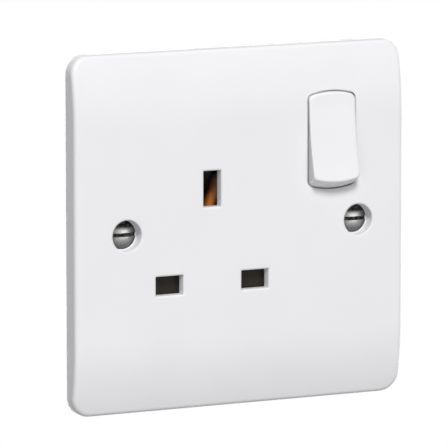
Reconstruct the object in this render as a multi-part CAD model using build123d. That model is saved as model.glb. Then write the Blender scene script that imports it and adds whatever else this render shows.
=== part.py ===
"""Single switched wall socket for three flat pins, with its shutter, contacts and rocker switch.

X is right as seen from the room, Y goes into the wall and Z is up. The origin lies on the wall,
midway between the two fixing screws. All sizes are in millimetres.
"""
import os
from math import asin, cos, radians, sin, sqrt

from build123d import *

os.makedirs("parts", exist_ok=True)

# Front plate
plate_w = 85.5
plate_h = 84.8
plate_d = 5.1
plate_x = -0.62
plate_corner = 4.6
plate_edge = 1.15
flat_half = 25.5
crown_r = 60.0
skin = 2.5
rim = 2.2

# Fixing screws, 3.5 mm with raised countersunk heads
lug_x = 30.15
screw_r = 1.75
screw_len = 19.5
head_r = 3.4
head_depth = 2.8
head_dome = 0.9
head_gap = 0.33
slot_w = 0.9
slot_deep = 0.15
boss_r = 4.6

# Pin openings, with the pin centres set out from their centre line
pin_x = -8.12
pin_pitch = 22.2
earth_z = 9.7
line_z = -12.45
earth_w = 4.6
earth_h = 8.6
line_w = 7.1
line_h = 4.6
opening_edge = 0.3

# Shutter
shutter_t = 1.5
shutter_lap = 0.6
shutter_slack = 0.15
spring_len = 11.5
shelf_t = 1.6

# Rocker switch
rocker_x = 23.1
rocker_z = 19.45
rocker_w = 12.2
rocker_r = 11.95
rocker_gap = 0.25
rocker_arch = 21.0
rocker_corner = 1.4
rocker_proud = 2.0
rocker_hollow = 76.0
rocker_edge = 0.45
throw = 17.0
pivot_y = -1.4
trunnion_r = 1.5
plunger_r = 2.05
nose_r = 1.4
seesaw_throw = 20.0
seesaw_y = 13.6
seesaw_t = 0.6

# Rear housing
floor_y = 18.6
housing_wall = 1.6
floor_t = 1.8
strip_t = 0.8
strap_t = 0.6
housing_slack = 0.05
terminal_x = 7.0
terminal_y = 9.0
terminal_z = 8.0
wire_r = 2.2
clamp_r = 1.95
line_side = 6.55
bracket_w = 5.0
bracket_foot = 10.0
bracket_step = 4.0
cheek_h = 7.0
earth_base = 15.0
earth_neck = 3.3
earth_mouth = 1.0
earth_flare = 4.6
earth_bend = 2.2

# Levels through the depth
inner_y = skin - plate_d
shutter_y = inner_y + shutter_slack
shutter_back = shutter_y + shutter_t
strap_y = shutter_back + 0.3
strip_y = floor_y - strip_t
back_y = floor_y + floor_t

# Places across the face
neutral_x = pin_x - pin_pitch / 2
live_x = pin_x + pin_pitch / 2
travel = line_h + shutter_lap * 2 + 0.3
terminal_mid = line_z - terminal_z / 2 - 5.1
terminal_low = terminal_mid - terminal_z / 2
line_x = rocker_x - line_side
half_throw = throw / 2
fold = half_throw + seesaw_throw / 2


def block(x0, x1, y0, y1, z0, z1):
    """A block between two corners."""
    return Pos((x0 + x1) / 2, (y0 + y1) / 2, (z0 + z1) / 2) * Box(x1 - x0, y1 - y0, z1 - z0)


def rod_x(r, y, z, x0, x1):
    """A round bar along X."""
    return Pos((x0 + x1) / 2, y, z) * Rot(0, 90, 0) * Cylinder(r, x1 - x0)


def rod_y(r, x, z, y0, y1):
    """A round bar along Y."""
    return Pos(x, (y0 + y1) / 2, z) * Rot(90, 0, 0) * Cylinder(r, y1 - y0)


def rod_z(r, x, y, z0, z1):
    """A round bar along Z."""
    return Pos(x, y, (z0 + z1) / 2) * Cylinder(r, z1 - z0)


def along_x(face, x0, x1):
    """A side profile, drawn in Y and Z, drawn out along X."""
    return extrude(Plane.YZ.offset(x0) * face, amount=x1 - x0)


def along_y(face, y0, y1):
    """A front outline, drawn in X and Z, drawn out along Y."""
    return extrude(Plane.XZ.offset(-y1) * face, amount=y1 - y0)


def along_z(face, z0, z1):
    """A plan profile, drawn in X and Y, drawn out along Z."""
    return extrude(Plane.XY.offset(z0) * face, amount=z1 - z0)


def turned(points, x, z):
    """A turned piece about an axis along Y, from its (radius, y) outline."""
    face = make_face(Polyline(*points, close=True))
    return Pos(x, 0, z) * revolve(face, Axis.Y)


def bent(points, bend):
    """The edge-on outline of a strip bent along a line of points."""
    return trace(FilletPolyline(*points, radius=bend), line_width=strip_t)


def crowned(half, depth, radius, back):
    """Side profile of the plate: flat in the middle, falling away to its top and bottom."""
    swing = asin((half - flat_half) / radius)

    def at(turn, side):
        return radius * (1 - cos(turn)) - depth, side * (flat_half + radius * sin(turn))

    edges = [
        ThreePointArc(at(swing, 1), at(swing / 2, 1), at(0, 1)),
        Line(at(0, 1), at(0, -1)),
        ThreePointArc(at(0, -1), at(swing / 2, -1), at(swing, -1)),
        Polyline(at(swing, -1), (back, -half), (back, half), at(swing, 1)),
    ]
    return make_face(edges)


def barrel(grow):
    """The rocker's sweep about its pivot: a drum along X with arched ends and rounded corners."""
    half = rocker_w / 2 + grow
    tip = rocker_r + grow
    sag = rocker_arch - sqrt(rocker_arch**2 - half**2)
    arch = ThreePointArc((-half, tip - sag), (0, tip), (half, tip - sag))
    sides = Polyline((-half, tip - sag), (-half, 0), (half, 0), (half, tip - sag))
    face = make_face([arch, sides])
    corners = face.vertices().sort_by(Axis.Y)[2:]
    face = fillet(corners, rocker_corner)
    return revolve(face, Axis.X)


def spring(radius, wire, length, turns):
    """A coil spring along Z, standing on Z = 0, of six-sided wire."""
    pitch = (length - 2 * wire) / turns
    coil = Pos(0, 0, wire) * Helix(pitch, length - 2 * wire, radius)
    start = Plane(coil @ 0, z_dir=coil % 0)
    return sweep(start * RegularPolygon(wire, 6), path=coil, is_frenet=True)


# Front plate: a crowned square with rounded corners, hollow behind
outline = Pos(plate_x, 0) * RectangleRounded(plate_w, plate_h, plate_corner)
plate = along_x(crowned(plate_h / 2 + 2, plate_d, crown_r, 2), -plate_w, plate_w)
plate = plate & along_y(outline, -plate_d - 1, 0)
front_edges = []
for edge in plate.edges():
    mid = edge @ 0.5
    lies_deep = abs((edge @ 1).Y - (edge @ 0).Y) > 1.5
    at_side = abs(mid.X - plate_x) > plate_w / 2 - plate_corner
    at_end = abs(mid.Z) > plate_h / 2 - plate_corner
    if mid.Y < -1 and not lies_deep and (at_side or at_end):
        front_edges.append(edge)
plate = fillet(front_edges, plate_edge)
hollow = along_x(crowned(plate_h / 2, plate_d - skin, crown_r - skin, 2), -plate_w, plate_w)
inset = RectangleRounded(plate_w - 2 * rim, plate_h - 2 * rim, plate_corner - rim)
hollow = hollow & along_y(Pos(plate_x, 0) * inset, -plate_d, 1)
plate = plate - hollow

# Sockets for the fixing screws: a counterbore down to a countersunk seat
seat_y = head_depth - plate_d
cone = head_r - screw_r + 0.15
for side in (-1, 1):
    plate = plate + rod_y(boss_r, side * lug_x, 0, inner_y - 0.5, strap_y)
for side in (-1, 1):
    seat = [
        (0, -plate_d - 1),
        (head_r + head_gap, -plate_d - 1),
        (head_r + head_gap, seat_y),
        (head_r + 0.1, seat_y),
        (head_r + 0.1 - cone, seat_y + cone),
        (head_r + 0.1 - cone, 1),
        (0, 1),
    ]
    plate = plate - turned(seat, side * lug_x, 0)

# Pillars that take the screws of the rear housing
pillar_y = 12.0
pillars = [
    (neutral_x - 0.4, rocker_z + 2.4),
    (rocker_x - 14.15, rocker_z - 5.6),
    (live_x + 1.4, terminal_mid - 0.3),
]
for x, z in pillars:
    plate = plate + rod_y(2.9, x, z, inner_y - 0.5, pillar_y)
    plate = plate - rod_y(1.45, x, z, inner_y + 0.8, pillar_y + 1)

# Bearing cheeks for the rocker's trunnions, open at the rear
cheek = rocker_w / 2 + rocker_gap
cheek_t = 1.8
for side in (-1, 1):
    near = rocker_x + side * cheek
    far = near + side * cheek_t
    x0, x1 = min(near, far), max(near, far)
    slot_r = trunnion_r + 0.05
    plate = plate + block(x0, x1, inner_y - 0.5, pivot_y + 3.0, rocker_z - 3.4, rocker_z + 3.4)
    plate = plate - rod_x(slot_r, pivot_y, rocker_z, x0 - 0.1, x1 + 0.1)
    plate = plate - block(x0 - 0.1, x1 + 0.1, pivot_y, pivot_y + 4, rocker_z - slot_r, rocker_z + slot_r)

# Openings for the pins and the rocker
for x in (neutral_x, live_x):
    plate = plate - block(
        x - line_w / 2, x + line_w / 2, -plate_d - 1, 1, line_z - line_h / 2, line_z + line_h / 2
    )
plate = plate - block(
    pin_x - earth_w / 2, pin_x + earth_w / 2, -plate_d - 1, 1, earth_z - earth_h / 2, earth_z + earth_h / 2
)
lips = []
for edge in plate.edges():
    mid = edge @ 0.5
    at_line = abs(mid.Z - line_z) < line_h and abs(abs(mid.X - pin_x) - pin_pitch / 2) < line_w
    at_earth = abs(mid.Z - earth_z) < earth_h and abs(mid.X - pin_x) < earth_w
    if abs(mid.Y + plate_d) < 0.01 and (at_line or at_earth):
        lips.append(edge)
plate = fillet(lips, opening_edge)
at_pivot = Pos(rocker_x, pivot_y, rocker_z)
plate = plate - at_pivot * barrel(rocker_gap)

# Shutter: a bar over the two lower openings on a frame round the upper one, with a ramp at its top
bar_low = line_z - line_h / 2 - shutter_lap
bar_top = line_z + line_h / 2 + shutter_lap
bar_left = neutral_x - line_w / 2 - shutter_lap
bar_right = live_x + line_w / 2 + shutter_lap
frame_half = earth_w / 2 + 3.1
window_half = earth_w / 2 + 0.9
window_low = earth_z - earth_h / 2 - travel - 0.3
window_top = earth_z + earth_h / 2 + 0.4
bridge_top = window_top + 4.4
ramp_back = shutter_back + 4.1
shutter = block(bar_left, bar_right, shutter_y, shutter_back, bar_low, bar_top)
frame = block(
    pin_x - frame_half, pin_x + frame_half, shutter_y, shutter_back, bar_low + 1, bridge_top
)
window = block(
    pin_x - window_half, pin_x + window_half, shutter_y - 1, shutter_back + 1, window_low, window_top
)
shutter = shutter + (frame - window)
shutter = shutter + block(
    pin_x - window_half, pin_x + window_half, shutter_y, ramp_back, window_top + 1, bridge_top
)
ramp_low = earth_z + 3.98 - travel
ramp = make_face(
    Polyline(
        (shutter_y, window_top + 1.5),
        (ramp_back, window_top + 1.5),
        (ramp_back, ramp_low),
        (ramp_back - 0.9, ramp_low),
        (shutter_y, window_top - 0.2),
        close=True,
    )
)
shutter = shutter + along_x(ramp, pin_x - 1.5, pin_x + 1.5)
spring_y = (shutter_y + ramp_back) / 2
shutter = shutter + rod_z(1.2, pin_x, spring_y, bridge_top - 1, bridge_top + 2)

# Rails on the plate that guide the shutter's frame
for side in (-1, 1):
    near = pin_x + side * (frame_half + 0.2)
    far = near + side * 1.5
    rail_low = bar_top + travel + 0.4
    plate = plate + block(
        min(near, far), max(near, far), inner_y - 0.5, shutter_back, rail_low, bridge_top - 0.6
    )

# Shutter's spring, and the shelf on the plate that it pushes from
spring_top = bridge_top + spring_len
coil = spring(1.9, 0.35, spring_len, 5.5)
shutter_spring = Pos(pin_x, spring_y, bridge_top) * coil
plate = plate + block(
    pin_x - 3, pin_x + 3, inner_y - 0.5, ramp_back - 0.2, spring_top, spring_top + shelf_t
)
plate = plate + rod_z(1.2, pin_x, spring_y, spring_top - 2, spring_top + 0.5)

# Rocker, made level and then tipped to its resting, off position
half_w = rocker_w / 2
crest = -plate_d - pivot_y - rocker_proud
reach = sqrt(rocker_r**2 - crest**2)
sag = reach**2 / (2 * rocker_hollow)
clear = 2 * rocker_r
face_arc = ThreePointArc((crest, -reach), (crest + sag, 0), (crest, reach))
face_sides = Polyline(
    (crest, reach), (crest, clear), (0.5, clear), (0.5, -clear), (crest, -clear), (crest, -reach)
)
rocker = barrel(0) & along_x(make_face([face_arc, face_sides]), -half_w - 1, half_w + 1)
top_edges = []
for edge in rocker.edges():
    ends = [edge @ t for t in (0, 0.25, 0.5, 0.75, 1)]
    if max(p.Y for p in ends) < crest + sag + 0.3:
        top_edges.append(edge)
rocker = fillet(top_edges, rocker_edge)
inside = rod_x(rocker_r - 2.6, 0, 0, 1.5 - half_w, half_w - 1.5)
inside = inside & block(-half_w, half_w, crest + sag + 1.9, 1, -clear, clear)
rocker = rocker - inside
stem_end = 9.5
bore_end = -1.5
rocker = rocker + block(-half_w, half_w, crest + sag + 1, 1.8, -2.4, 2.4)
rocker = rocker + rod_y(plunger_r + 1.15, 0, 0, crest + sag + 1, stem_end)
rocker = rocker + rod_x(trunnion_r, 0, 0, -cheek - cheek_t, cheek + cheek_t)
rocker = rocker - rod_y(plunger_r + 0.1, 0, 0, bore_end, stem_end + 1)
tipped = at_pivot * Rot(-half_throw, 0, 0)
rocker = tipped * rocker

# Spring-loaded plunger in the rocker's stem
plunger_back = 4.0
seesaw_reach = seesaw_y - pivot_y
nose_at = seesaw_reach * cos(radians(half_throw)) - nose_r - 0.25 - seesaw_t / 2
plunger = rod_y(plunger_r, 0, 0, plunger_back, stem_end - 0.2)
plunger = plunger + rod_y(nose_r, 0, 0, stem_end - 1, nose_at)
plunger = plunger + Pos(0, nose_at, 0) * Sphere(nose_r)
plunger = tipped * plunger
coil = spring(1.45, 0.35, plunger_back - bore_end, 4)
rocker_spring = tipped * Pos(0, bore_end, 0) * Rot(-90, 0, 0) * coil

# See-saw contact: a folded strip on round trunnions, its upper arm ending in a silver tip
fold_rad = radians(fold)
flat_rad = radians(seesaw_throw / 2)
knee = (-6 * sin(fold_rad), 6 * cos(fold_rad))
top = (knee[0] - 5 * sin(flat_rad), knee[1] + 5 * cos(flat_rad))
foot = (-7 * sin(fold_rad), -7 * cos(fold_rad))
arm = trace(FilletPolyline(top, knee, (0, 0), foot, radius=0.6), line_width=seesaw_t)
seesaw = along_x(arm, -2.5, 2.5)
for side in (-1, 1):
    near, far = side * 2.0, side * 4.0
    seesaw = seesaw + rod_x(0.7, 0, 0, min(near, far), max(near, far))
tip_t = 0.8
tip_r = 1.6
tip_mid = (knee[0] - 2.8 * sin(flat_rad), knee[1] + 2.8 * cos(flat_rad))
on_arm = Pos(0, tip_mid[0], tip_mid[1]) * Rot(seesaw_throw / 2, 0, 0)
moving_tip = on_arm * rod_y(tip_r, 0, 0, seesaw_t / 2, seesaw_t / 2 + tip_t)
at_seesaw = Pos(rocker_x, seesaw_y, rocker_z) * Rot(seesaw_throw / 2, 0, 0)
seesaw = at_seesaw * seesaw
moving_tip = at_seesaw * moving_tip

# Fixed silver tip, where the moving one lands when the switch is on
closed = radians(fold - seesaw_throw / 2)
tip_y = seesaw_y - 6 * sin(closed) + seesaw_t / 2 + tip_t + 0.05
tip_z = rocker_z + 6 * cos(closed) + 2.8
tab_y = tip_y + tip_t
fixed_tip = rod_y(tip_r, rocker_x, tip_z, tip_y, tab_y)


def leaf(side, half, base_y, throat, neck_y, mouth, mouth_y):
    """One leaf of a pin's clip: up from the floor, leaning in to grip, then flaring at the mouth."""
    mid_y = floor_y - strip_t / 2
    line = [(0, mid_y), (half, mid_y), (half, base_y), (throat, neck_y), (mouth, mouth_y)]
    return [(side * u, y) for u, y in line]


def flat_clip(x):
    """A clip for a pin that lies flat, its leaves above and below."""
    clip = []
    for side in (-1, 1):
        line = [(y, line_z + u) for u, y in leaf(side, 3.5, 14.0, 1.95, 6.0, 3.1, 1.4)]
        clip.append(along_x(bent(line, 1.0), x - 3.2, x + 3.2))
    return clip[0] + clip[1]


def strip(x0, x1, z0, z1):
    """A flat strip lying on the floor of the housing."""
    return block(x0, x1, strip_y, floor_y, z0, z1)


def terminal_pad(x):
    """The widened end of a strip, under its terminal."""
    return strip(x - terminal_x / 2, x + terminal_x / 2, terminal_low, terminal_low + terminal_z)


# Live contact: a clip, a long leg and a raised tab behind the fixed tip
tab_z0 = tip_z - 2.2
tab_z1 = tip_z + 2.2
riser_x = rocker_x - 6.0
live_contact = flat_clip(live_x) + strip(live_x - 1.75, live_x + 1.75, line_z, tab_z1)
step = [
    (live_x - 1.75, floor_y - strip_t / 2),
    (riser_x, floor_y - strip_t / 2),
    (riser_x, tab_y + strip_t / 2),
    (rocker_x + 3.0, tab_y + strip_t / 2),
]
live_contact = live_contact + along_z(bent(step, 0.6), tab_z0, tab_z1)

# Neutral contact: a clip and a short strip to its terminal
neutral_contact = flat_clip(neutral_x) + strip(neutral_x - 2.5, neutral_x + 2.5, terminal_low + 1, line_z)
neutral_contact = neutral_contact + terminal_pad(neutral_x)

# Earth contact: a deeper clip turned the other way, and a strip between the other two
earth_contact = strip(pin_x - 2.5, pin_x + 2.5, terminal_low + 1, earth_z) + terminal_pad(pin_x)
for side in (-1, 1):
    line = leaf(side, 3.9, earth_base, 1.95, earth_neck, earth_flare, earth_mouth)
    line = [(pin_x + u, y) for u, y in line]
    earth_contact = earth_contact + along_z(bent(line, earth_bend), earth_z - 5.6, earth_z + 2.5)

# Line bracket: carries the see-saw between two notched cheeks and runs down to its terminal
foot = rocker_z - bracket_foot
step_top = foot + bracket_step
bracket_x = rocker_x + bracket_w / 2
line_bracket = strip(rocker_x - bracket_w / 2, bracket_x, foot, rocker_z + cheek_h / 2)
line_bracket = line_bracket + strip(line_x - 2, bracket_x, foot, step_top)
line_bracket = line_bracket + strip(line_x - 2, line_x + 2, terminal_low + 1, step_top)
line_bracket = line_bracket + terminal_pad(line_x)
line_bracket = line_bracket + strip(
    rocker_x - 3.6, rocker_x + 3.6, rocker_z - cheek_h / 2, rocker_z + cheek_h / 2
)
for side in (-1, 1):
    near = rocker_x + side * 2.8
    far = near + side * strip_t
    x0, x1 = min(near, far), max(near, far)
    line_bracket = line_bracket + block(x0, x1, seesaw_y - 1.2, floor_y, rocker_z - 3.0, rocker_z + 3.0)
    line_bracket = line_bracket - rod_x(0.75, seesaw_y, rocker_z, x0 - 0.1, x1 + 0.1)
    line_bracket = line_bracket - block(
        x0 - 0.1, x1 + 0.1, seesaw_y - 2, seesaw_y, rocker_z - 0.75, rocker_z + 0.75
    )

# Terminals: brass pillars with a wire hole from below and a clamping screw from the rear
block_y = strip_y - terminal_y
wire_y = block_y + 0.9 + wire_r
clamp_tip = wire_y + wire_r + 0.25
clamp_head = back_y + 2.0
terminals = {}
clamps = []
for name, x in (("neutral", neutral_x), ("earth", pin_x), ("line", line_x)):
    body = block(
        x - terminal_x / 2, x + terminal_x / 2, block_y, strip_y, terminal_low, terminal_low + terminal_z
    )
    body = body - rod_z(wire_r, x, wire_y, terminal_low - 1, terminal_low + terminal_z + 1)
    body = body - rod_y(clamp_r + 0.05, x, terminal_mid, wire_y, strip_y + 1)
    terminals[name] = body
    screw = [
        (0, clamp_tip),
        (clamp_r - 0.4, clamp_tip),
        (clamp_r, clamp_tip + 0.4),
        (clamp_r, clamp_head),
        (3.0, clamp_head),
        (3.0, clamp_head + 1.9),
        (2.7, clamp_head + 2.2),
        (0, clamp_head + 2.2),
    ]
    screw = turned(screw, x, terminal_mid)
    slot = block(x - 4, x + 4, clamp_head + 1.1, clamp_head + 3, terminal_mid - 0.5, terminal_mid + 0.5)
    clamps.append(screw - slot)
clear = clamp_r + 0.2
neutral_contact = neutral_contact - rod_y(clear, neutral_x, terminal_mid, strip_y - 1, floor_y + 1)
earth_contact = earth_contact - rod_y(clear, pin_x, terminal_mid, strip_y - 1, floor_y + 1)
line_bracket = line_bracket - rod_y(clear, line_x, terminal_mid, strip_y - 1, floor_y + 1)

# Earth strap: joins both fixing screws to the earth contact
strap_back = strap_y + strap_t
strap = block(-lug_x, lug_x, strap_y, strap_back, -2.5, 2.5)
strap = strap + block(pin_x - 2.2, pin_x + 2.2, strap_y, strip_y, 2.5 - strap_t, 2.5)
for side in (-1, 1):
    strap = strap + rod_y(boss_r - 0.2, side * lug_x, 0, strap_y, strap_back)
for side in (-1, 1):
    strap = strap - rod_y(screw_r + 0.45, side * lug_x, 0, strap_y - 1, strap_back + 1)

# Fixing screws: slotted, raised countersunk, with the thread starting at the wall
fixings = []
ball = (head_r**2 + head_dome**2) / (2 * head_dome)
for side in (-1, 1):
    x = side * lug_x
    shank = [
        (0, seat_y),
        (head_r, seat_y),
        (head_r - cone, seat_y + cone),
        (head_r - cone - 0.15, 0),
        (screw_r, 0),
        (screw_r, screw_len - 0.8),
        (screw_r - 0.8, screw_len),
        (0, screw_len),
    ]
    cap = Pos(x, seat_y - head_dome + ball, 0) * Sphere(ball)
    cap = cap & rod_y(head_r, x, 0, seat_y - 3, seat_y)
    slot = block(x - 4, x + 4, seat_y - 3, seat_y + slot_deep, -slot_w / 2, slot_w / 2)
    fixings.append(turned(shank, x, 0) + cap - slot)

# Rear housing: a deep tray behind the mechanism
west = bar_left - 0.3 - housing_wall
east = line_x + terminal_x / 2 + 0.9 + housing_wall
south = terminal_low - 0.3 - housing_wall
north = spring_top + shelf_t + 0.1 + housing_wall
switch_west = rocker_x - cheek - cheek_t - 0.4
switch_east = rocker_x + cheek + cheek_t + 0.4 + housing_wall
switch_south = rocker_z - rocker_r - rocker_gap - 1.25


def tray(inset):
    """Front outline of the housing: the pin side and the taller switch side in one."""
    corner = 3.0 - inset
    pins = RectangleRounded(east - west - 2 * inset, north - south - 2 * inset, corner)
    pins = Pos((east + west) / 2, (north + south) / 2) * pins
    switch = RectangleRounded(
        switch_east - switch_west - 2 * inset, north - switch_south - 2 * inset, corner
    )
    switch = Pos((switch_east + switch_west) / 2, (north + switch_south) / 2) * switch
    return pins + switch


hidden = skin + housing_slack
behind = crowned(plate_h / 2 - rim, plate_d - hidden, crown_r - hidden, 2 * back_y)
behind = along_x(behind, -plate_w / 2, plate_w / 2)
housing = along_y(tray(0), inner_y - 1, back_y) & behind
housing = housing - along_y(tray(housing_wall), inner_y - 2, floor_y)

# Posts that meet the plate's pillars, for the assembly screws
assembly = []
for x, z in pillars:
    housing = housing + rod_y(2.9, x, z, pillar_y, floor_y + 0.5)
    housing = housing - rod_y(1.6, x, z, pillar_y - 1, back_y + 1)
    screw = [
        (0, 4.5),
        (0.5, 4.5),
        (1.4, 5.6),
        (1.4, back_y),
        (2.7, back_y),
        (2.7, back_y + 0.9),
        (1.9, back_y + 1.7),
        (0, back_y + 1.7),
    ]
    screw = turned(screw, x, z)
    for turn in (0, 90):
        cross = Pos(x, back_y + 1.6, z) * Rot(0, turn, 0) * Box(2.6, 1.6, 0.6)
        screw = screw - cross
    assembly.append(screw)

# Walls between the pins that also hold the shutter forward
for side in (-1, 1):
    near = pin_x + side * (frame_half - 1.5)
    far = near + side * 1.4
    housing = housing + block(
        min(near, far), max(near, far), shutter_back + 0.15, floor_y + 0.5, line_z - 3.8, -3.2
    )
# Wall between the live leg and the switch, and the fingers that shut the rocker's bearings
housing = housing + block(line_x - 4.5, line_x - 3.6, 2.0, floor_y + 0.5, south + 1, rocker_z + 3.4)
for side in (-1, 1):
    near = rocker_x + side * (cheek + 0.15)
    far = near + side * (cheek_t - 0.3)
    x0, x1 = min(near, far), max(near, far)
    stop = pivot_y + trunnion_r + 0.1
    housing = housing + block(x0, x1, stop, floor_y + 0.5, rocker_z - 1.3, rocker_z + 1.3)
# Pedestal under the fixed contact
housing = housing + block(
    riser_x + strip_t, rocker_x + 3.0, tab_y + strip_t, floor_y + 0.5, tab_z0, tab_z1
)

# Ways through the housing: wires, clamping screws, the strap, the bosses and the rocker's sweep
for x in (neutral_x, pin_x, line_x):
    housing = housing + rod_y(4.5, x, terminal_mid, floor_y + 0.5, back_y + 2.4)
    housing = housing - rod_y(3.3, x, terminal_mid, floor_y - 1, back_y + 3)
    housing = housing - rod_z(wire_r + 0.7, x, wire_y, south - 1, terminal_low)
housing = housing - block(-lug_x, lug_x, strap_y - 0.3, strap_back + 0.3, -2.8, 2.8)
for side in (-1, 1):
    housing = housing - rod_y(boss_r + 0.4, side * lug_x, 0, inner_y - 3, back_y + 1)
housing = housing - at_pivot * barrel(rocker_gap)

pieces = {
    "front_plate": plate,
    "rear_housing": housing,
    "shutter": shutter,
    "shutter_spring": shutter_spring,
    "rocker": rocker,
    "rocker_plunger": plunger,
    "rocker_spring": rocker_spring,
    "moving_contact": seesaw,
    "moving_contact_tip": moving_tip,
    "fixed_contact_tip": fixed_tip,
    "live_contact": live_contact,
    "neutral_contact": neutral_contact,
    "earth_contact": earth_contact,
    "line_bracket": line_bracket,
    "neutral_terminal": terminals["neutral"],
    "earth_terminal": terminals["earth"],
    "line_terminal": terminals["line"],
    "earth_strap": strap,
    "terminal_screws": Compound(children=clamps),
    "fixing_screws": Compound(children=fixings),
    "housing_screws": Compound(children=assembly),
}
for name, shape in pieces.items():
    export_step(shape, f"parts/{name}.step")
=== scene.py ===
"""White switched wall socket for three flat pins, dressed for a plain studio picture."""

import bmesh
import bpy
import numpy as np
from mathutils import Matrix, Vector


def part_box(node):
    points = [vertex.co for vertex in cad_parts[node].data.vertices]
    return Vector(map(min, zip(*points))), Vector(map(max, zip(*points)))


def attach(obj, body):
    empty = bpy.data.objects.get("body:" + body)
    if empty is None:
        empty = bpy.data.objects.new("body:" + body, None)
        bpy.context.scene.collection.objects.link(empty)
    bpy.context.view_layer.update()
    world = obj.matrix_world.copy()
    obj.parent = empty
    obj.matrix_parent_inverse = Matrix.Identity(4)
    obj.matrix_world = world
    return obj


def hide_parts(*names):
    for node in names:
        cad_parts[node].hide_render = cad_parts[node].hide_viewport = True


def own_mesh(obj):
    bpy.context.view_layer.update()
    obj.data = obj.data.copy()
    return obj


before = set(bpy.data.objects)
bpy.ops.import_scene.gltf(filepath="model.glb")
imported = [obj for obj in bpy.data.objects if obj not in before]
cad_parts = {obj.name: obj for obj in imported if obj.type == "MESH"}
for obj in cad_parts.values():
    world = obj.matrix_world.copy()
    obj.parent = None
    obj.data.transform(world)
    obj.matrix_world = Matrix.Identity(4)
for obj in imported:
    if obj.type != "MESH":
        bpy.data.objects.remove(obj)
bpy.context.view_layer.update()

# Front plate: a square of white urea, pressed hot in a polished steel mould and screwed over a
# wall box. The thick moulding has a soft gloss, with a slow flow in the white and a faint skin of
# ripples, and its sharp edges are broken all round.
EDGE_R = 0.0007
RIPPLE_DEEP = 0.00005


def linear(code):
    """A hex colour as linear red, green, blue and 1: each channel put through the sRGB curve."""
    c = np.array([int(code[i : i + 2], 16) for i in (1, 3, 5)]) / 255
    c = np.where(c <= 0.04045, c / 12.92, ((c + 0.055) / 1.055) ** 2.4)
    return (*c.tolist(), 1.0)


def add(tree, kind, inputs=None, **settings):
    """Adds a node: each input, by name or number, is joined to a socket or set to a value.

    A setting goes to the input of that name, or else to the node's property.
    """
    node = tree.nodes.new(kind)
    for name, value in settings.items():
        named = [s for s in node.inputs if s.name.lower().replace(" ", "_") == name]
        if named:
            named[0].default_value = value
        else:
            setattr(node, name, value)
    for key, source in (inputs or {}).items():
        if isinstance(source, bpy.types.NodeSocket):
            tree.links.new(source, node.inputs[key])
        else:
            node.inputs[key].default_value = source
    return node


def emptied(owner):
    """The node tree of a material or a world, with nothing in it."""
    owner.use_nodes = True
    owner.node_tree.nodes.clear()
    return owner.node_tree


def surfaced(tree, inputs, **settings):
    """Ends a material's tree: one shader with these inputs, on the output."""
    shader = add(tree, "ShaderNodeBsdfPrincipled", inputs, **settings)
    add(tree, "ShaderNodeOutputMaterial", {"Surface": shader.outputs["BSDF"]})


def moulded(name, light, dark, roughness, drift, ior, flow_mm, skin_mm, skin, **settings):
    """Moulded plastic: two close tones drift along the flow, and a finer noise drifts the gloss.

    The skin is bumped by a fine noise, over normals that turn round each edge on EDGE_R.
    """
    made = bpy.data.materials.new(name)
    tree = emptied(made)
    where = add(tree, "ShaderNodeTexCoord").outputs["Object"]
    flow = add(tree, "ShaderNodeTexNoise", {"Vector": where}, scale=1000 / flow_mm, detail=1.0)
    share = add(
        tree, "ShaderNodeMapRange", {"Value": flow.outputs["Fac"]}, from_min=0.2, from_max=0.8
    ).outputs["Result"]
    tone = add(
        tree, "ShaderNodeMix", {0: share, 6: linear(dark), 7: linear(light)}, data_type="RGBA"
    ).outputs[2]
    film = add(tree, "ShaderNodeTexNoise", {"Vector": where}, scale=2500 / flow_mm, detail=1.0)
    dull = add(
        tree,
        "ShaderNodeMapRange",
        {"Value": film.outputs["Fac"]},
        from_min=0.3,
        from_max=0.7,
        to_min=roughness - drift,
        to_max=roughness + drift,
    ).outputs["Result"]
    grain = add(tree, "ShaderNodeTexNoise", {"Vector": where}, scale=1000 / skin_mm, detail=2.0)
    rounded = add(tree, "ShaderNodeBevel", radius=EDGE_R, samples=8).outputs["Normal"]
    bump = add(
        tree,
        "ShaderNodeBump",
        {"Height": grain.outputs["Fac"], "Normal": rounded},
        strength=skin,
        distance=RIPPLE_DEEP,
    ).outputs["Normal"]
    surfaced(tree, {"Base Color": tone, "Roughness": dull, "Normal": bump}, ior=ior, **settings)
    return made


def place(tree):
    """The X, Y and Z of the shaded point in the shared frame."""
    where = add(tree, "ShaderNodeTexCoord").outputs["Object"]
    return add(tree, "ShaderNodeSeparateXYZ", {0: where}).outputs


def soil(finish, colour, amount):
    """Lays a colour over a finish's own, as much of it at each point as the amount says."""
    tree = finish.node_tree
    base = tree.nodes["Principled BSDF"].inputs["Base Color"]
    own = base.links[0].from_socket
    laid = add(tree, "ShaderNodeMix", {0: amount, 6: own, 7: linear(colour)}, data_type="RGBA")
    tree.links.new(laid.outputs[2], base)


def dress(finish, *nodes):
    """Puts a finish on whole CAD nodes."""
    for node in nodes:
        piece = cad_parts[node]
        if not piece.material_slots:
            piece.data.materials.append(finish)
        for slot in piece.material_slots:
            slot.material = finish


# Polished urea: close to pure white, cool, with a soft broad sheen and flow marks a couple of
# centimetres long.
white_urea = moulded(
    "pressed_white_urea", "#f1f1f3", "#eeeef0", roughness=0.38, drift=0.02, ior=1.54,
    flow_mm=18, skin_mm=0.8, skin=0.06, specular_ior_level=0.2,
)
# The ledge along the plate's top is greyed a little: painted shade.
LEDGE_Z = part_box("front_plate")[1][2]
TOP_SHADE_FROM, TOP_SHADE_FULL = LEDGE_Z - 0.0004, LEDGE_Z - 0.0001
tree = white_urea.node_tree
top_shade = add(
    tree, "ShaderNodeMapRange", {"Value": place(tree)["Z"]}, from_min=TOP_SHADE_FROM, from_max=TOP_SHADE_FULL
)
soil(white_urea, "#e0e0e1", top_shade.outputs["Result"])
dress(white_urea, "front_plate")

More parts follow.
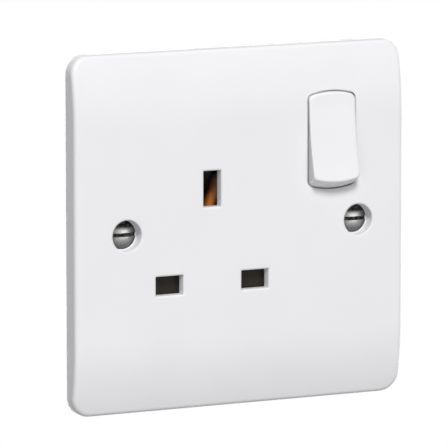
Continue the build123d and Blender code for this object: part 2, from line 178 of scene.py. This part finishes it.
# Rear housing: a deep tray of off-white polycarbonate that closes the mechanism in, held by three
# screws. Its mould was spark-eroded, so the outside is dull and finely pebbled, and each terminal
# has a raised letter.
spark_pc = moulded(
    "spark_textured_polycarbonate", "#e7e7e2", "#dfdfda", roughness=0.5, drift=0.06, ior=1.58,
    flow_mm=12, skin_mm=0.35, skin=0.35,
)
dress(spark_pc, "rear_housing")

HOUSING_BACK = 0.0204
LETTER_SIZE, LETTER_RISE, LETTER_GAP = 0.0042, 0.00015, 0.0018


def new_piece(name, mesh, finish, body):
    """A mesh put into the scene in one finish, riding on a body."""
    piece = bpy.data.objects.new(name, mesh)
    bpy.context.scene.collection.objects.link(piece)
    mesh.materials.clear()
    mesh.materials.append(finish)
    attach(piece, body)
    return piece


def raised_letter(letter, terminal):
    """A letter on the housing's back, above a terminal: a text outline drawn out by its rise."""
    low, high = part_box(terminal)
    text = bpy.data.curves.new(f"mark_{letter}", "FONT")
    text.body = letter
    text.size = LETTER_SIZE
    text.extrude = LETTER_RISE
    text.align_x = "CENTER"
    text.resolution_u = 3
    drawn = bpy.data.objects.new(f"mark_{letter}_outline", text)
    bpy.context.scene.collection.objects.link(drawn)
    graph = bpy.context.evaluated_depsgraph_get()
    mesh = bpy.data.meshes.new_from_object(drawn.evaluated_get(graph))
    bpy.data.objects.remove(drawn)
    facing_back = Matrix(((-1, 0, 0), (0, 0, 1), (0, 1, 0))).to_4x4()
    spot = Vector(((low[0] + high[0]) / 2, HOUSING_BACK, high[2] + LETTER_GAP))
    mesh.transform(Matrix.Translation(spot) @ facing_back)
    new_piece(f"terminal_mark_{letter}", mesh, spark_pc, "socket")


raised_letter("N", "neutral_terminal")
raised_letter("E", "earth_terminal")
raised_letter("L", "line_terminal")

# Shutter: a slide of dark brown nylon behind the pin openings, pushed down by a small coil spring.
# Moulded in one piece, it is dull, nearly black in the openings, with a little bloom of glass
# fibre in its skin.
fibre_nylon = moulded(
    "brown_glass_filled_nylon", "#2b2620", "#211c17", roughness=0.5, drift=0.06, ior=1.53,
    flow_mm=4, skin_mm=0.3, skin=0.3, specular_ior_level=0.12,
)
dress(fibre_nylon, "shutter")

# Rocker: a hollow white urea key on two trunnions, with a dished face; a stem behind it holds the
# plunger. It is pressed like the plate, with a slightly higher polish where fingers touch it.
ROCKER_X, FLANK_OUT = 0.0231, 0.0061
FLANK_SHADE_FROM, FLANK_SHADE_FULL = FLANK_OUT - 0.00015, FLANK_OUT - 0.00002
rocker_urea = moulded(
    "polished_white_urea", "#eeeef0", "#ebebed", roughness=0.36, drift=0.02, ior=1.54,
    flow_mm=14, skin_mm=0.8, skin=0.05,
)


def apart(tree, value, middle):
    """How far a value is from a fixed one: the size of their difference."""
    off = add(tree, "ShaderNodeMath", {0: value, 1: middle}, operation="SUBTRACT")
    return add(tree, "ShaderNodeMath", {0: off.outputs[0]}, operation="ABSOLUTE").outputs[0]


# Its two flanks are greyed, darker than its face: painted shade.
tree = rocker_urea.node_tree
outward = apart(tree, place(tree)["X"], ROCKER_X)
flank_shade = add(
    tree, "ShaderNodeMapRange", {"Value": outward}, from_min=FLANK_SHADE_FROM, from_max=FLANK_SHADE_FULL
)
soil(rocker_urea, "#c5c5c7", flank_shade.outputs["Result"])
dress(rocker_urea, "rocker")

# Plunger: a pin of natural nylon with a round nose, which slides in the rocker's stem on its
# spring. Unpigmented nylon is cream and waxy, a little uneven in tone, with a fine moulded skin.
waxy_nylon = moulded(
    "natural_nylon", "#e6dec8", "#dad0b6", roughness=0.42, drift=0.06, ior=1.53,
    flow_mm=3, skin_mm=0.25, skin=0.15,
)
dress(waxy_nylon, "rocker_plunger")

# Contacts: brass strip, rolled, blanked and bent, for the three pin clips, the see-saw, its
# bracket and the strap. Rolling leaves fine streaks along the strip, and handling leaves it dull
# and browner in patches.
STREAK_LONG, STREAK_DEEP = 25, 0.00003
STAIN_MOST, ROUGH_DRIFT = 0.6, 0.08


def streaked(name, light, dark, stain, roughness, streak_mm, along, patch_mm, metallic=1.0):
    """Metal worked one way: noise stretched along one axis sets its tone, roughness and bump.

    The streaks are STREAK_LONG times as long as wide, and patches of stain lie over them.
    """
    made = bpy.data.materials.new(name)
    tree = emptied(made)
    where = add(tree, "ShaderNodeTexCoord").outputs["Object"]
    pull = np.full(3, 1000 / streak_mm)
    pull["XYZ".index(along)] /= STREAK_LONG
    drawn = add(tree, "ShaderNodeMapping", {"Vector": where, "Scale": pull.tolist()})
    lines = add(
        tree, "ShaderNodeTexNoise", {"Vector": drawn.outputs["Vector"]}, scale=1.0, detail=3.0
    ).outputs["Fac"]
    share = add(tree, "ShaderNodeMapRange", {"Value": lines}, from_min=0.3, from_max=0.7)
    tone = add(
        tree,
        "ShaderNodeMix",
        {0: share.outputs["Result"], 6: linear(dark), 7: linear(light)},
        data_type="RGBA",
    ).outputs[2]
    patches = add(tree, "ShaderNodeTexNoise", {"Vector": where}, scale=1000 / patch_mm, detail=3.0)
    cover = add(
        tree,
        "ShaderNodeMapRange",
        {"Value": patches.outputs["Fac"]},
        from_min=0.5,
        from_max=0.75,
        to_max=STAIN_MOST,
    )
    dull = add(
        tree,
        "ShaderNodeMapRange",
        {"Value": lines},
        from_min=0.3,
        from_max=0.7,
        to_min=roughness - ROUGH_DRIFT,
        to_max=roughness + ROUGH_DRIFT,
    ).outputs["Result"]
    bump = add(
        tree, "ShaderNodeBump", {"Height": lines}, strength=0.1, distance=STREAK_DEEP
    ).outputs["Normal"]
    inputs = {"Base Color": tone, "Roughness": dull, "Normal": bump}
    surfaced(tree, inputs, metallic=metallic)
    soil(made, stain, cover.outputs["Result"])
    return made


rolled_brass = streaked(
    "rolled_brass_strip", "#c79f5f", "#a97e40", stain="#8c6533", roughness=0.36,
    streak_mm=0.15, along="Z", patch_mm=3,
)
dress(
    rolled_brass, "live_contact", "neutral_contact", "line_bracket", "moving_contact", "earth_strap"
)

# Earth clip: the same brass strip, seen through its opening. Oxide dulls it, so it scatters more
# light than it mirrors. A bright slanting streak on each leaf of its mouth is painted light, which
# fades towards the top, and beside it the brass is painted nearly black: painted shadow.
PIN_X, LIT_OUT, LIT_LEAN = -0.00812, 0.00163, -0.21
LIT_EDGE, LIT_CORE, LIT_TOP, LIT_FULL = 0.0014, 0.0001, 0.0118, 0.0072
lit_and_shaded_brass = streaked(
    "pin_rubbed_brass", "#fca65a", "#f28c3c", stain="#de7629", roughness=0.36,
    streak_mm=0.15, along="Z", patch_mm=3, metallic=0.2,
)
tree = lit_and_shaded_brass.node_tree
at = place(tree)
outward = apart(tree, at["X"], PIN_X)
leaning = add(
    tree, "ShaderNodeMath", {0: at["Z"], 1: LIT_LEAN, 2: outward}, operation="MULTIPLY_ADD"
)
# Painted light: a slanting band on each leaf, fading towards the top.
painted_streak = add(
    tree,
    "ShaderNodeMapRange",
    {"Value": apart(tree, leaning.outputs[0], LIT_OUT)},
    from_min=LIT_EDGE,
    from_max=LIT_CORE,
    interpolation_type="SMOOTHSTEP",
).outputs["Result"]
below_top = add(
    tree, "ShaderNodeMapRange", {"Value": at["Z"]}, from_min=LIT_TOP, from_max=LIT_FULL
).outputs["Result"]
painted_light = add(tree, "ShaderNodeMath", {0: painted_streak, 1: below_top}, operation="MULTIPLY")
# Painted shadow: all but the painted band is laid over with near black.
painted_shadow = add(tree, "ShaderNodeMath", {0: 1.0, 1: painted_light.outputs[0]}, operation="SUBTRACT")
soil(lit_and_shaded_brass, "#2a1207", painted_shadow.outputs[0])
dress(lit_and_shaded_brass, "earth_contact")

# Switch tips: coined silver discs riveted to the see-saw and to the live contact, where they meet.
# Silver is the whitest metal here, a little greyed by sulphur.
coined_silver = streaked(
    "coined_silver", "#efeeea", "#dcdbd5", stain="#b9b4a6", roughness=0.28,
    streak_mm=0.1, along="X", patch_mm=1.5,
)
dress(coined_silver, "moving_contact_tip", "fixed_contact_tip")

# Springs: drawn steel wire, coiled cold with closed end turns, one over the shutter and one in the
# rocker's stem. The wire is bright grey with darker streaks.
WIRE_R, WIRE_SIDES, STEPS_A_TURN = 0.00035, 12, 36
CLOSED_PITCH, END_ROOM = 2.05 * WIRE_R, 1.03 * WIRE_R
SHUTTER_SPRING = {
    "foot": (-0.00812, 0.00035, 0.0303),
    "axis": (0, 0, -1),
    "long": 0.0115,
    "radius": 0.0019,
    "turns": 5.5,
}
ROCKER_SPRING = {
    "foot": (0.0231, -0.0028835, 0.0196717),
    "axis": (0, 0.989016, -0.147809),
    "long": 0.0055,
    "radius": 0.00145,
    "turns": 4,
}
CREASE = np.radians(40)


def grid_quads(index):
    """Quads over a grid of point numbers: each takes a point and its next row and column."""
    corners = [index[:-1, :-1], index[1:, :-1], index[1:, 1:], index[:-1, 1:]]
    return np.stack(corners, -1).reshape(-1, 4)


def coil_surface(foot, axis, long, radius, turns):
    """The wire's round section carried along a helix: each ring lies square to its tangent.

    The helix climbs by the wire's width in its first and last turn and evenly between them, and
    each end of the wire closes to a point.
    """
    axis = np.array(axis)
    side = np.array([1.0, 0.0, 0.0])
    fore = np.cross(axis, side)
    turn = np.linspace(0, turns, round(STEPS_A_TURN * turns) + 1)
    low, high = END_ROOM, long - END_ROOM
    climb = [low, low + CLOSED_PITCH, high - CLOSED_PITCH, high]
    height = np.interp(turn, [0, 1, turns - 1, turns], climb)
    angle = 2 * np.pi * turn[:, None]
    out = np.cos(angle) * side + np.sin(angle) * fore
    line = np.array(foot) + radius * out + height[:, None] * axis
    run = np.gradient(line, axis=0)
    up = np.cross(run / np.linalg.norm(run, axis=1, keepdims=True), out)
    around = np.linspace(0, 2 * np.pi, WIRE_SIDES + 1)[:, None]
    rings = np.cos(around) * out[:, None] + np.sin(around) * up[:, None]
    rings = line[:, None] + WIRE_R * rings
    ends = [line[i, None, None].repeat(WIRE_SIDES + 1, 1) for i in (0, -1)]
    rings = np.concatenate([ends[0], rings, ends[1]])
    index = np.arange(rings.shape[0] * rings.shape[1]).reshape(rings.shape[:2])
    return rings.reshape(-1, 3), grid_quads(index)


def join_surface(name, sheets):
    """One smooth mesh from sheets of points and quads.

    Seams and poles are merged, faces are turned outwards, and edges past CREASE stay sharp.
    """
    starts = np.cumsum([0] + [len(points) for points, quads in sheets])
    points = np.concatenate([points for points, quads in sheets])
    quads = np.concatenate([quads + start for (points, quads), start in zip(sheets, starts)])
    mesh = bpy.data.meshes.new(name)
    mesh.from_pydata(points.tolist(), [], quads.tolist())
    work = bmesh.new()
    work.from_mesh(mesh)
    bmesh.ops.remove_doubles(work, verts=work.verts, dist=1e-6)
    bmesh.ops.recalc_face_normals(work, faces=work.faces)
    work.to_mesh(mesh)
    work.free()
    mesh.set_sharp_from_angle(angle=CREASE)
    mesh.polygons.foreach_set("use_smooth", np.ones(len(mesh.polygons), bool))
    return mesh


drawn_steel = streaked(
    "drawn_spring_steel", "#b4b6b9", "#85888b", stain="#6b6d70", roughness=0.3,
    streak_mm=0.1, along="Z", patch_mm=2,
)


def coil_spring(node, body, sizes):
    """A coil in the place of its CAD node."""
    name = f"{node}_coil"
    mesh = join_surface(name, [coil_surface(**sizes)])
    piece = new_piece(name, mesh, drawn_steel, body)
    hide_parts(node)
    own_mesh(piece)


coil_spring("shutter_spring", "socket", SHUTTER_SPRING)
coil_spring("rocker_spring", "rocker", ROCKER_SPRING)

# Terminals: short lengths of drawn brass bar, sawn, drilled for the wire and tapped for the clamp.
# Freshly cut brass is yellower and brighter than the strip.
drawn_brass = streaked(
    "drawn_brass_bar", "#cfaa68", "#b08743", stain="#957039", roughness=0.3,
    streak_mm=0.12, along="Z", patch_mm=4,
)
dress(drawn_brass, "neutral_terminal", "earth_terminal", "line_terminal")

# Rear screws: steel, headed and rolled cold, then plated with bright zinc, for the clamps and the
# housing. The passivated zinc is pale and cool, with a faint yellow cast in places.
bright_zinc = streaked(
    "bright_zinc_steel", "#9b9fa3", "#797d81", stain="#827e66", roughness=0.42,
    streak_mm=0.12, along="X", patch_mm=1.5,
)
dress(bright_zinc, "terminal_screws", "housing_screws")

# Fixing screws: 3.5 mm steel screws with slotted raised heads, nickel plated, which hold the plate
# to its box. The heads are turned and slotted with a saw, and the thread is rolled, so fine rings
# show round the head.
LUG_X, SEAT_Y, SCREW_END = 0.03015, -0.0023, 0.0195
HEAD_R, DOME, SLOT_W, SLOT_DEEP, CONE = 0.0034, 0.0009, 0.0009, 0.00015, 0.0018
THREAD_R, THREAD_DEEP, PITCH, RINGS_A_PITCH = 0.00175, 0.00034, 0.0006, 8
NECK_IN, POINT_LONG, POINT_R, HAIR = 0.00015, 0.0008, 0.00095, 1e-6
CREST, GROOVE_STEEP = 1.35, 3.2
SIDE_CHORDS, SLOT_CHORDS, CHORD_POINTS = 16, 5, 31


def screw_surface(x):
    """Chords across the head give its dome and slot; rings below give the cone and the thread.

    The dome is a cap of a ball and the slot a step down between two chords. Each ring has the
    chords' ends as its angles, and the thread's radius falls and rises once for each turn of angle
    over a pitch.
    """
    ease = np.linspace(0, np.arccos(SLOT_W / 2 / HEAD_R), SIDE_CHORDS)
    side = -HEAD_R * np.cos(ease)
    bed = np.linspace(-SLOT_W / 2, SLOT_W / 2, SLOT_CHORDS)
    across = np.concatenate([side, bed, -side[::-1]])
    sunk = np.repeat([False, True, False], [SIDE_CHORDS, SLOT_CHORDS, SIDE_CHORDS])
    inner = HEAD_R - SLOT_DEEP
    rim = np.where(sunk, inner, HEAD_R)
    half = np.sqrt(np.maximum(rim**2 - across**2, 0))
    along = np.sin(np.linspace(-np.pi / 2, np.pi / 2, CHORD_POINTS))
    gx = half[:, None] * along
    gz = np.repeat(across[:, None], CHORD_POINTS, 1)
    ball = (HEAD_R**2 + DOME**2) / (2 * DOME)
    cap = np.sqrt(ball**2 - gx**2 - gz**2) - (ball - DOME)
    gy = np.where(sunk[:, None], SEAT_Y + SLOT_DEEP, SEAT_Y - cap)
    head = np.stack([gx, gy, gz], -1)
    index = np.arange(gx.size).reshape(gx.shape)

    edge, edge_in = np.arcsin(SLOT_W / 2 / HEAD_R), np.arcsin(SLOT_W / 2 / inner)
    plain = np.arcsin(np.clip(across / HEAD_R, -1, 1))
    widened = (np.abs(plain) - edge) * (np.pi / 2 - edge_in) / (np.pi / 2 - edge)
    spread = np.sign(plain) * (edge_in + widened)
    half_turn = np.where(sunk, np.arcsin(np.clip(across / inner, -1, 1)), spread)
    angle = np.concatenate([half_turn, np.pi - half_turn[::-1]])

    thread_end = SCREW_END - POINT_LONG
    thread_y = np.arange(0, thread_end, PITCH / RINGS_A_PITCH)
    thread_r = np.full(len(thread_y), THREAD_R)
    neck_r = HEAD_R - CONE
    cone_y = [SEAT_Y + SLOT_DEEP, SEAT_Y + CONE, -HAIR]
    ring_y = np.concatenate([cone_y, thread_y, [SCREW_END, SCREW_END]])[:, None]
    ring_r = np.concatenate([[inner, neck_r, neck_r - NECK_IN], thread_r, [POINT_R, 0]])[:, None]
    turn = np.mod(ring_y / PITCH - angle / (2 * np.pi), 1)
    groove = np.clip(CREST - GROOVE_STEEP * np.abs(turn - 0.5), 0, 1)
    start = np.clip(ring_y / PITCH, 0, 1)
    threaded = (ring_y >= 0) & (ring_y < thread_end)
    radius = ring_r - np.where(threaded, THREAD_DEEP * groove * start, 0)
    heights = np.broadcast_to(ring_y, radius.shape)
    rings = np.stack([radius * np.cos(angle), heights, radius * np.sin(angle)], -1)

    rim_loop = np.concatenate([index[:, -1], index[::-1, 0]])
    ring_index = gx.size + np.arange(radius.size).reshape(radius.shape)
    tube = np.concatenate([rim_loop[None], ring_index])
    tube = np.concatenate([tube, tube[:, :1]], 1)
    points = np.concatenate([head.reshape(-1, 3), rings.reshape(-1, 3)]) + (x, 0, 0)
    return points, np.concatenate([grid_quads(index), grid_quads(tube)])


# Nickel plate: bright in its plain tone beside the slot, and darkened elsewhere by dirt and painted
# shade, in the slot, round the rim, over the top and towards the bottom. Fine rings from the lathe
# lie round each head.
LATHE_RING, RING_DEEP = 0.00016, 0.00001
nickel = bpy.data.materials.new("worn_nickel_plate")
tree = emptied(nickel)
where = add(tree, "ShaderNodeTexCoord").outputs["Object"]
at = add(tree, "ShaderNodeSeparateXYZ", {0: where}).outputs
aside = add(tree, "ShaderNodeMath", {0: at["X"]}, operation="ABSOLUTE").outputs[0]
aside = add(tree, "ShaderNodeMath", {0: aside, 1: LUG_X}, operation="SUBTRACT").outputs[0]
spot = add(tree, "ShaderNodeCombineXYZ", {"X": aside, "Z": at["Z"]}).outputs[0]
out_by = add(tree, "ShaderNodeVectorMath", {0: spot}, operation="LENGTH").outputs["Value"]
across = add(tree, "ShaderNodeMath", {0: at["Z"]}, operation="ABSOLUTE").outputs[0]
# Each row is a darkening: what it is measured by, where it is least and most, and how much.
# Towards the rim and in the slot it is dirt and painted shade; over the top it is painted shadow
# and a painted dark reflection of the hole's upper wall, with some dust; at the bottom it is
# painted shade.
DIRT_AND_SHADE = (
    (out_by, 0.0016, 0.0033, 0.8),  # towards the rim
    (at["Z"], 0.0011, 0.0019, 1.0),  # over the top
    (at["Z"], -0.0006, -0.0024, 0.6),  # at the bottom
    (across, 0.00047, 0.00040, 1.0),  # in the slot
)
dirt_and_shade = 0.0
for measure, least, most, amount in DIRT_AND_SHADE:
    darkened = add(
        tree, "ShaderNodeMapRange", {"Value": measure}, from_min=least, from_max=most, to_max=amount
    ).outputs["Result"]
    dirt_and_shade = add(tree, "ShaderNodeMath", {0: dirt_and_shade, 1: darkened}, operation="MAXIMUM").outputs[0]
# There is little of it behind the head, and it is blotched all over.
HEAD_FROM, HEAD_TO, BLOTCH = -0.0014, -0.0002, 0.0007
on_head = add(
    tree,
    "ShaderNodeMapRange",
    {"Value": at["Y"]},
    from_min=HEAD_FROM,
    from_max=HEAD_TO,
    to_min=1.0,
    to_max=0.2,
).outputs["Result"]
blotch = add(tree, "ShaderNodeTexNoise", {"Vector": where}, scale=1 / BLOTCH, detail=3.0)
uneven = add(
    tree,
    "ShaderNodeMapRange",
    {"Value": blotch.outputs["Fac"]},
    from_min=0.3,
    from_max=0.7,
    to_min=0.75,
    to_max=1.1,
).outputs["Result"]
dirt_and_shade = add(tree, "ShaderNodeMath", {0: dirt_and_shade, 1: on_head}, operation="MULTIPLY").outputs[0]
dirt_and_shade = add(
    tree, "ShaderNodeMath", {0: dirt_and_shade, 1: uneven}, operation="MULTIPLY", use_clamp=True
).outputs[0]
# The darkening, dirt and painted shade, is laid over the nickel's plain tone.
tone = add(
    tree, "ShaderNodeMix", {0: dirt_and_shade, 6: linear("#a2a3a1"), 7: linear("#1d1b1a")}, data_type="RGBA"
).outputs[2]
dull = add(tree, "ShaderNodeMapRange", {"Value": dirt_and_shade}, to_min=0.26, to_max=0.6).outputs["Result"]
phase = {0: out_by, 1: 2 * np.pi / LATHE_RING}
phase = add(tree, "ShaderNodeMath", phase, operation="MULTIPLY").outputs[0]
wave = add(tree, "ShaderNodeMath", {0: phase}, operation="SINE").outputs[0]
bump = add(tree, "ShaderNodeBump", {"Height": wave}, strength=0.25, distance=RING_DEEP)
inputs = {"Base Color": tone, "Roughness": dull, "Normal": bump.outputs["Normal"]}
surfaced(tree, inputs, metallic=1.0)

both = join_surface("fixing_screws_cut", [screw_surface(-LUG_X), screw_surface(LUG_X)])
screws = new_piece("fixing_screws_cut", both, nickel, "socket")
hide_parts("fixing_screws")

# Stage: a pale floor well below the socket, which hangs as it was photographed, with white all
# round. Camera, mirror and glass rays meet plain white; other rays meet the floor's own paper and
# the world's dim light.
FLOOR_Z, FLOOR_HALF = -0.9, 3
floor_mesh = bpy.data.meshes.new("floor")
corners = [(-1, -1), (1, -1), (1, 1), (-1, 1)]
corners = [(FLOOR_HALF * x, FLOOR_HALF * y, FLOOR_Z) for x, y in corners]
floor_mesh.from_pydata(corners, [], [(0, 1, 2, 3)])
floor = bpy.data.objects.new("floor", floor_mesh)
bpy.context.scene.collection.objects.link(floor)


def seen_white(tree, plain, white):
    """The white shader for camera, mirror and glass rays, and the plain one for all others."""
    path = add(tree, "ShaderNodeLightPath").outputs
    seen = path["Is Camera Ray"]
    for ray in ("Is Glossy Ray", "Is Transmission Ray"):
        seen = add(tree, "ShaderNodeMath", {0: seen, 1: path[ray]}, operation="MAXIMUM").outputs[0]
    inputs = {0: seen, 1: plain.outputs[0], 2: white.outputs[0]}
    return add(tree, "ShaderNodeMixShader", inputs).outputs[0]


# Pale grey paper, quite dull.
paper = bpy.data.materials.new("pale_paper")
tree = emptied(paper)
plain = add(tree, "ShaderNodeBsdfDiffuse", color=linear("#9c9c9c"))
white = add(tree, "ShaderNodeEmission", strength=1.0)
add(tree, "ShaderNodeOutputMaterial", {"Surface": seen_white(tree, plain, white)})
floor.data.materials.append(paper)

WORLD = 0.16
world = bpy.data.worlds.new("white_studio")
bpy.context.scene.world = world
tree = emptied(world)
plain = add(tree, "ShaderNodeBackground", color=linear("#ffffff"), strength=WORLD)
white = add(tree, "ShaderNodeBackground", color=linear("#ffffff"), strength=1.0)
add(tree, "ShaderNodeOutputWorld", {"Surface": seen_white(tree, plain, white)})


def facing(spot):
    """The place and turn of a lamp or camera at a spot: its back points away from the socket."""
    spot = Vector(spot)
    return Matrix.Translation(spot) @ spot.to_track_quat("Z", "Y").to_matrix().to_4x4()


def lamp(name, spot, size, power):
    """A square soft lamp that faces the socket."""
    data = bpy.data.lights.new(name, "AREA")
    data.shape = "SQUARE"
    data.size = size
    data.energy = power
    made = bpy.data.objects.new(name, data)
    bpy.context.scene.collection.objects.link(made)
    made.matrix_world = facing(spot)


# A strong lamp stands high in front, and weak ones fill in the front, the sides and the back.
lamp("key", (-0.63, -2.25, 2.34), size=0.825, power=88.0)
lamp("front", (0.93, -1.99, -0.19), size=0.9, power=6.0)
lamp("left", (-1.7, -1.4, -0.19), size=0.9, power=5.9)
lamp("rear", (0.4, 2.1, -0.15), size=1.4, power=25.0)
lamp("right", (1.9, 0.5, -0.15), size=1.0, power=9.0)

# Camera: 1.24 m away, 26 degrees to the socket's left and 8.6 degrees above it, as the photograph
# was taken. The shift puts the socket where it stands in the picture, which is 447 pixels wide.
AZIMUTH, HEIGHT, DISTANCE = np.radians(26.03), np.radians(8.6), 1.242
LENS_MM, SENSOR_MM = 425.0, 36.0
PICTURE, SHIFT_X, SHIFT_Y = 447, -10.8, 1.3
LEVEL = DISTANCE * np.cos(HEIGHT)
stand = (-LEVEL * np.sin(AZIMUTH), -LEVEL * np.cos(AZIMUTH), DISTANCE * np.sin(HEIGHT))
view = bpy.data.cameras.new("camera")
view.lens = LENS_MM
view.sensor_width = SENSOR_MM
view.shift_x = SHIFT_X / PICTURE
view.shift_y = SHIFT_Y / PICTURE
camera = bpy.data.objects.new("camera", view)
camera.matrix_world = facing(stand)
bpy.context.scene.collection.objects.link(camera)
bpy.context.scene.camera = camera
bpy.context.scene.view_settings.view_transform = "Standard"
